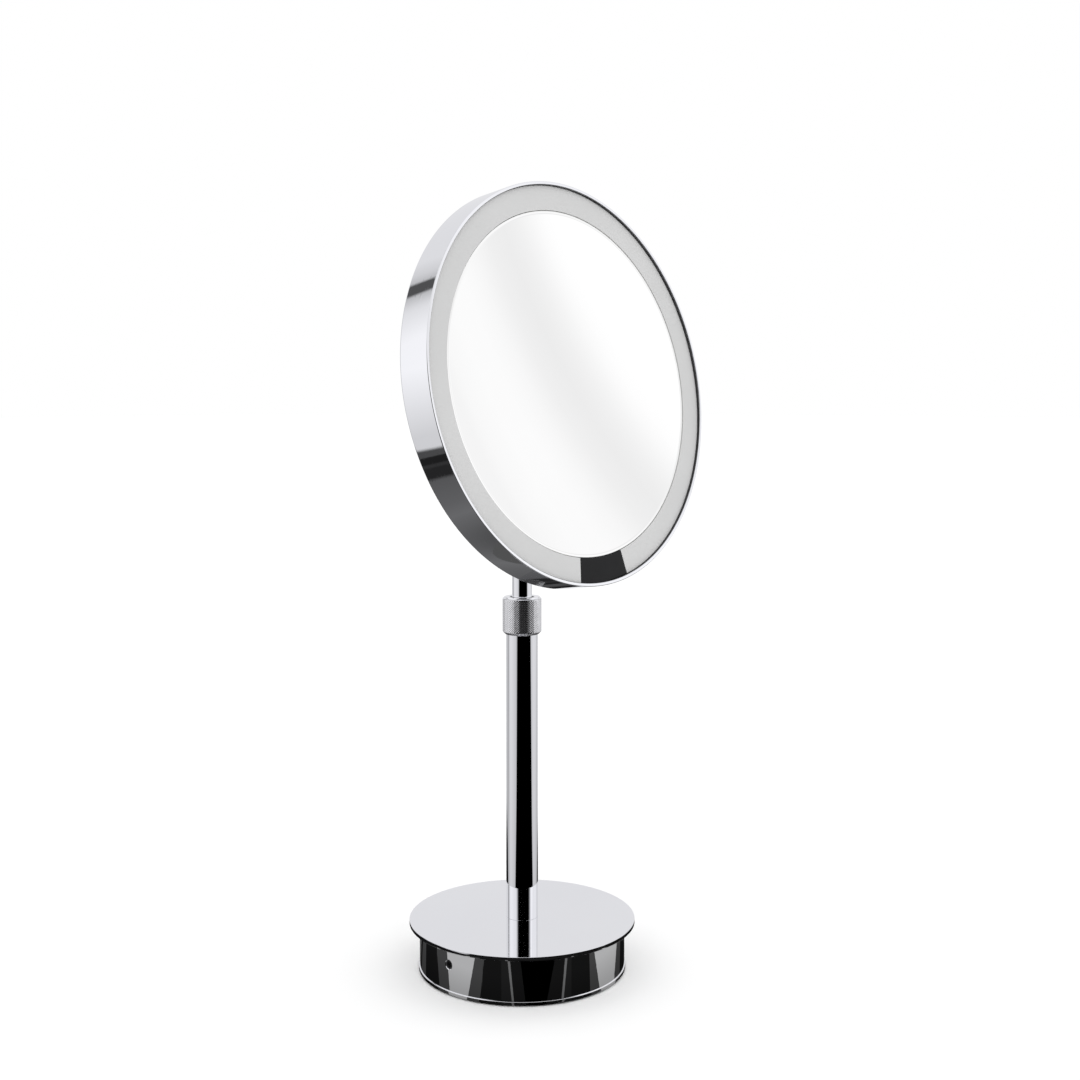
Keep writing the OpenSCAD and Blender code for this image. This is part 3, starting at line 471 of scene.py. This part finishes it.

# painted shade: a thin black strip inside the lip that stands for the shadowed inner wall,
# showing as a dark line between lip and ring
shadeStripLook = {"gap": 0.03, "thick": 0.1, "below": 3.2, "under": 0.4}
shadeStripOut = insideRadius - shadeStripLook["gap"]
shadeStripIn = shadeStripOut - shadeStripLook["thick"]
bm = spun([(shadeStripIn, lipZ - shadeStripLook["below"]), (shadeStripOut, lipZ - shadeStripLook["below"]),
           (shadeStripOut, lipZ - shadeStripLook["under"]), (shadeStripIn, lipZ - shadeStripLook["under"])],
          320, closed=True)
finishPiece(bm, "lipShadeStrip", "head", "black_plastic", [], toHead, even=False)

ringLook = {"outer": 105.65, "inner": 92.45, "back": 36.6, "front": 39.0, "edge": 0.18,
            "windowAt": -87.2, "windowAngle": 20.7, "gap": 0.1}
ringProfile = [(ringLook["inner"], ringLook["back"]), (ringLook["outer"], ringLook["back"]),
               (ringLook["outer"], ringLook["front"]), (ringLook["inner"], ringLook["front"])]
halfWindow = ringLook["windowAngle"] / 2
bm = spun(ringProfile, 288, 360 - ringLook["windowAngle"],
          ringLook["windowAt"] + halfWindow, True)
easeEdges(bm, ringLook["edge"], segments=2)
finishPiece(bm, "lightRing", "head", "frosted_acrylic", ["light_ring"], toHead)

bm = spun(ringProfile, 20, ringLook["windowAngle"] - 2 * ringLook["gap"],
          ringLook["windowAt"] - halfWindow + ringLook["gap"], True)
easeEdges(bm, ringLook["edge"], segments=2)
finishPiece(bm, "sensorWindow", "head", "black_glass", ["sensor_window"], toHead)

mirrorLook = {"radius": 92.2, "edge": 38.6, "dish": 6.9, "glass": 3, "ease": 0.3, "rings": 48}
curve = (mirrorLook["radius"] ** 2 + mirrorLook["dish"] ** 2) / (2 * mirrorLook["dish"])
centreZ = mirrorLook["edge"] - mirrorLook["dish"] + curve


def glassZ(radius, thick):
    return centreZ - math.sqrt((curve + thick) ** 2 - radius ** 2)


reach = [mirrorLook["radius"] * i / mirrorLook["rings"] for i in range(mirrorLook["rings"] + 1)]
profile = [(r, glassZ(r, 0)) for r in reach]
profile += [(r, glassZ(r, mirrorLook["glass"])) for r in reversed(reach)]
bm = spun(profile, 256)
easeEdges(bm, mirrorLook["ease"], segments=2, sharper=40)
finishPiece(bm, "mirrorGlass", "head", "mirror", ["mirror_glass"], toHead, even=False)
print("head made")


# Stage: a pale floor, soft light, and what the chrome sees of the studio. The floor stays
# out of reflections, so the chrome sees a dark mat by the base and, further out, the
# studio's panels as the world shows them.

stageLook = {"floorSize": 20, "floorTone": 0.9, "floorRough": 0.9, "cloud": 0.005,
             "skyLight": 1.16, "paper": 1.0, "key": 1.6, "fill": 0.96, "boxSize": 1.6,
             "aim": (0, 0, 0.15)}


def stagePiece(name, bm, material):
    mesh = bpy.data.meshes.new(name)
    bm.to_mesh(mesh)
    bm.free()
    mesh.materials.append(material)
    piece = bpy.data.objects.new(name, mesh)
    scene.collection.objects.link(piece)
    return piece


floorPaint = bpy.data.materials.new("floorPaper")
floorPaint.use_nodes = True
tree = floorPaint.node_tree
shader = tree.nodes["Principled BSDF"]
shader.inputs["Roughness"].default_value = stageLook["floorRough"]
shader.inputs["Specular IOR Level"].default_value = 0.0
floorTone = stageLook["floorTone"]
cloudTone = floorTone + stageLook["cloud"]
tree.links.new(mixed(tree, noise(tree, 2), (floorTone,) * 3, (cloudTone,) * 3),
               shader.inputs["Base Color"])
bm = bmesh.new()
bmesh.ops.create_grid(bm, x_segments=1, y_segments=1, size=stageLook["floorSize"])
stagePiece("floor", bm, floorPaint).visible_glossy = False


def glowPaint(name, strength):
    # seen close by, in the drum, a card has its strength; from further up it is dim floor
    material = bpy.data.materials.new(name)
    material.use_nodes = True
    material.cycles.emission_sampling = "NONE"  # it is only ever seen in the chrome
    tree = material.node_tree
    tree.nodes.clear()
    reach = newNode(tree, "ShaderNodeVectorMath", {0: objectPoint(tree)},
                    operation="LENGTH").outputs["Value"]
    close = spread(tree, reach, *cardLook["fade"], strength * cardLook["nearBase"],
                   strength * cardLook["outside"])
    away = maths(tree, "GREATER_THAN",
                 newNode(tree, "ShaderNodeLightPath").outputs["Ray Length"], cardLook["closeBy"])
    shown = newNode(tree, "ShaderNodeMix", {"Factor": away, "A": close, "B": cardLook["far"]})
    glow = newNode(tree, "ShaderNodeEmission", {"Strength": shown.outputs["Result"]})
    newNode(tree, "ShaderNodeOutputMaterial", {"Surface": glow.outputs[0]})
    return material


def seenInDrum(degrees, height):
    # the floor spot that shows in the drum at this height, degrees from the camera's side
    turn = math.radians(towardCamera + degrees)
    outward = Vector((math.cos(turn), math.sin(turn), 0))
    spot = outward * highest("base_drum").x * mm + Vector((0, 0, height * mm))
    look = spot - camera.location
    bounce = look - 2 * look.dot(outward) * outward
    return (spot - bounce * spot.z / bounce.z).xy


def studioCard(name, corners, strength, height):
    bm = bmesh.new()
    bm.faces.new([bm.verts.new((corner[0], corner[1], height * mm)) for corner in corners])
    card = stagePiece(name, bm, glowPaint(name, strength))
    card.visible_camera = False
    card.visible_diffuse = False
    card.visible_shadow = False
    card.visible_transmission = False


def arc(reach, start, end, steps=8):
    turns = [math.radians(towardCamera + start + (end - start) * i / steps)
             for i in range(steps + 1)]
    return [(reach * math.cos(turn) * mm, reach * math.sin(turn) * mm) for turn in turns]


def band(start, end):
    # an edge is two angles round the drum: at lowRow and at highRow
    rows = (0.5, 6, 12, 18, 23, 28)
    low, high = cardLook["lowRow"], cardLook["highRow"]
    sides = [[seenInDrum(edge[0] + (edge[1] - edge[0]) * (row - low) / (high - low), row)
              for row in rows] for edge in (start, end)]
    return sides[0] + sides[1][::-1]


cardLook = {"lowRow": 6, "highRow": 18, "closeBy": 0.16, "far": 0.09, "matSize": 134,
            "matGlow": 0.007, "height": -1.5, "step": 0.05, "fade": (0.06, 0.1),
            "nearBase": 0.72, "outside": 1.08, "backIn": 57, "backGlow": 0.4, "backLean": 4}
studioCard("matDark", arc(cardLook["matSize"], -180, 175, 71), cardLook["matGlow"],
           cardLook["height"])
# strength, then each edge as degrees from the camera's side at the low and the high row
cards = {
    "cardEdgeLeft": (0.12, (-88, -88), (-79.5, -76.5)),
    "cardSideLeft": (0.05, (-75.5, -72.5), (-66.8, -66.2)),
    "cardFarLeft": (0.05, (-51, -52.5), (-42.6, -43.8)),
    "cardLeft": (0.43, (-42.6, -43.8), (-29.6, -27.2)),
    "cardNearLeft": (0.05, (-29.6, -27.2), (-22.6, -21.2)),
    "cardHazeLeft": (0.012, (-11, -11), (-5.6, -6.9)),
    "cardLineLeft": (0.13, (-5.6, -6.9), (-4.5, -5.7)),
    "cardBlack": (0.0, (1.5, 0), (13.5, 16)),
    "cardLineRight": (0.13, (21.4, 22.6), (22.7, 23.9)),
    "cardHazeRight": (0.012, (22.7, 23.9), (27, 27)),
    "cardNearRight": (0.05, (39.2, 38.8), (46, 43.5)),
    "cardRight": (0.43, (46, 43.5), (61, 63.2)),
    "cardFarRight": (0.047, (61, 63.2), (68.8, 69.6)),
}
cardHeight = cardLook["height"]
for name, (strength, start, end) in cards.items():
    cardHeight += cardLook["step"]
    studioCard(name, band(start, end), strength, cardHeight)
for name, start, end in (("cardBackLeft", -162, -150), ("cardBack", 172, 200),
                         ("cardBackRight", 140, 156)):
    outer = arc(cardLook["matSize"], end - cardLook["backLean"], start + cardLook["backLean"])
    studioCard(name, arc(cardLook["backIn"], start, end) + outer, cardLook["backGlow"],
               cardHeight)


# World: each list is degrees from the camera's side, + to the right, and a brightness
aboveEye = [(-180, 0.8), (-130, 0.79), (-122, 0.68), (-118, 0.55), (-117.4, 0.085),
            (-112.4, 0.085), (-111.9, 0.5), (-106, 0.8), (-101, 0.9), (-97, 0.99), (-84, 1.02),
            (-44, 0.9), (-34, 0.4), (-28, 0), (48, 0), (58, 0.4), (66, 1.06), (122, 1.06),
            (132, 0.7), (150, 0.78), (180, 0.8)]
overhead = [(-180, 0.85), (-130, 0.8), (-110, 0.7), (-97, 0.9), (-60, 0.8), (0, 0.7),
            (60, 0.85), (100, 1.0), (130, 0.85), (180, 0.85)]
belowEye = [(-180, 0.95), (-150, 0.55), (-129, 0.36), (-107, 0.58), (-90, 0.68), (-66, 0.6),
            (-42, 0.46), (-34, 0.12), (-28, 0), (50, 0), (58, 0.02), (66, 0.2), (76, 0.5),
            (96, 0.62), (139, 0.46), (160, 0.7), (180, 0.95)]
# how far below the eye the panels reach down, in degrees
panelFoot = [(-180, 17.5), (-150, 15.5), (-129, 16.5), (-107, 21.5), (-90, 25.5), (-70, 23.5),
             (-54, 19.5), (-42, 15.5), (-34, 9), (-28, 0), (48, 0), (58, 4), (66, 10), (76, 16),
             (88, 19.5), (100, 22), (118, 20.5), (139, 17.5), (155, 16), (180, 17.5)]
# brightness towards the floor, by degrees below the eye
underPanels = [(0, 0.0), (19, 0.0), (22, 0.02), (25, 0.07), (28.2, 0.07), (28.5, 0.014),
               (31, 0.014), (31.4, 0.034), (32.2, 0.034), (32.6, 0.02), (36.2, 0.02),
               (37.4, 0.1), (46, 0.125), (49.5, 0.15), (52.5, 0.12), (55, 0.08), (90, 0.06)]
# a soft grey streak that crosses the mirror, by distance from a tilted plane
streakPlane = Vector((0.284, 0.586, 0.759))
streak = [(-0.088, 1.0), (-0.062, 0.97), (-0.05, 0.94), (-0.038, 0.9), (-0.026, 0.865),
          (-0.014, 0.84), (-0.002, 0.825), (0.01, 0.835), (0.022, 0.85), (0.034, 0.88),
          (0.046, 0.913), (0.058, 0.933), (0.07, 0.947), (0.094, 0.95), (0.119, 0.922),
          (0.131, 0.89), (0.15, 0.89)]
# the wall behind the camera, from the bottom to the top of its rise
lightWallTones = [(0, 0.42), (0.3, 0.55), (0.5, 0.72), (0.7, 0.9), (1, 0.8)]
streakSpan = (-0.1, 0.16)
footScale = 40
# the rest in degrees: spans of rise are (from, to), and spans of turn are sectors
worldLook = {"ceiling": (0.9, 0.9, 0.95), "tint": (1.0, 1.002, 1.03), "footBlur": 0.9,
             "overheadRise": (16, 30), "eyeRise": (-20, 6), "ceilingRise": (72.5, 80),
             "wallRise": (-40, 40), "streakRise": (-4, 2), "front": (-70, -50, 65, 75),
             "right": (72, 80, 118, 128)}

world = bpy.data.worlds.new("studio")
scene.world = world
world.use_nodes = True
tree = world.node_tree
tree.nodes.clear()
direction = newNode(tree, "ShaderNodeTexCoord").outputs["Generated"]
turned = newNode(tree, "ShaderNodeMapping", {"Vector": direction,
                 "Rotation": (0, 0, -math.radians(towardCamera))}, vector_type="POINT").outputs[0]
parts = newNode(tree, "ShaderNodeSeparateXYZ", {"Vector": turned})
around = spread(tree, maths(tree, "ARCTAN2", parts.outputs["Y"], parts.outputs["X"]),
                -math.pi, math.pi)
rise = maths(tree, "MULTIPLY", maths(tree, "ARCSINE", parts.outputs["Z"]), math.degrees(1))


def turnShare(angle):
    return (angle + 180) / 360


def roundStops(pairs, scale=1):
    return [(turnShare(angle), tone / scale) for angle, tone in pairs]


def sector(start, full, fullEnd, end):
    # 1 between full and fullEnd, falling to 0 at start and end, all in degrees
    return maths(tree, "MULTIPLY", spread(tree, around, turnShare(start), turnShare(full)),
                 spread(tree, around, turnShare(end), turnShare(fullEnd)))


# high up on the camera's side the sky is light, but not as the post passes it on to the plate
paths = newNode(tree, "ShaderNodeLightPath")
firstBounce = maths(tree, "LESS_THAN", paths.outputs["Glossy Depth"], 1.5)
inFront = sector(*worldLook["front"])
lifted = maths(tree, "MULTIPLY", inFront, firstBounce)
lifted = maths(tree, "MULTIPLY", spread(tree, rise, *worldLook["overheadRise"]), lifted)
sky = mixed(tree, lifted, ramped(tree, around, roundStops(aboveEye)),
            ramped(tree, around, roundStops(overhead)))
lit = mixed(tree, spread(tree, rise, *worldLook["eyeRise"]),
            ramped(tree, around, roundStops(belowEye)), sky)
foot = ramped(tree, around, roundStops(panelFoot, footScale))
foot = maths(tree, "MULTIPLY", foot, footScale)
footBlur = worldLook["footBlur"]
overFoot = spread(tree, maths(tree, "ADD", rise, foot), -footBlur, footBlur, kind="SMOOTHSTEP")
under = ramped(tree, spread(tree, rise, 0, -90),
               [(angle / 90, tone) for angle, tone in underPanels])
panels = mixed(tree, overFoot, under, lit)
panels = mixed(tree, spread(tree, rise, *worldLook["ceilingRise"]), panels,
               worldLook["ceiling"])
# the glass is the only perfectly sharp finish: on the camera's side it sees a light wall
lightWall = ramped(tree, spread(tree, rise, *worldLook["wallRise"]), lightWallTones)
panels = mixed(tree, maths(tree, "MULTIPLY", inFront, paths.outputs["Is Singular Ray"]),
               panels, lightWall)
across = newNode(tree, "ShaderNodeVectorMath", {0: direction, 1: streakPlane},
                 operation="DOT_PRODUCT").outputs["Value"]
streakWidth = streakSpan[1] - streakSpan[0]
streakTone = ramped(tree, spread(tree, across, *streakSpan),
                    [((place - streakSpan[0]) / streakWidth, tone) for place, tone in streak])
onMirror = maths(tree, "MULTIPLY", sector(*worldLook["right"]),
                 spread(tree, rise, *worldLook["streakRise"]))
streakTone = mixed(tree, onMirror, (1, 1, 1), streakTone)
seen = mixed(tree, 1.0, panels, streakTone, "MULTIPLY")
seen = mixed(tree, 1.0, seen, worldLook["tint"], "MULTIPLY")

# Only chrome shows the panels. What reaches a soft surface by way of the chrome is the
# same even light as everywhere.
direct = maths(tree, "MULTIPLY", paths.outputs["Is Glossy Ray"],
               maths(tree, "LESS_THAN", paths.outputs["Diffuse Depth"], 0.5))
soft = mixed(tree, direct, (stageLook["skyLight"],) * 3, seen)
shown = mixed(tree, paths.outputs["Is Camera Ray"], soft, (stageLook["paper"],) * 3)
background = newNode(tree, "ShaderNodeBackground", {"Color": shown, "Strength": 1.0})
newNode(tree, "ShaderNodeOutputWorld", {"Surface": background.outputs[0]})


def softBox(name, place, energy):
    data = bpy.data.lights.new(name, "AREA")
    data.energy = energy
    data.size = stageLook["boxSize"]
    light = bpy.data.objects.new(name, data)
    light.location = place
    aim = Vector(stageLook["aim"]) - Vector(place)
    light.rotation_euler = aim.to_track_quat("-Z", "Y").to_euler()
    light.visible_glossy = False
    light.visible_camera = False
    scene.collection.objects.link(light)


softBox("keyLight", (-1.2, -1.6, 2.2), stageLook["key"])
softBox("fillLight", (1.6, -0.6, 2.0), stageLook["fill"])
print("stage set")
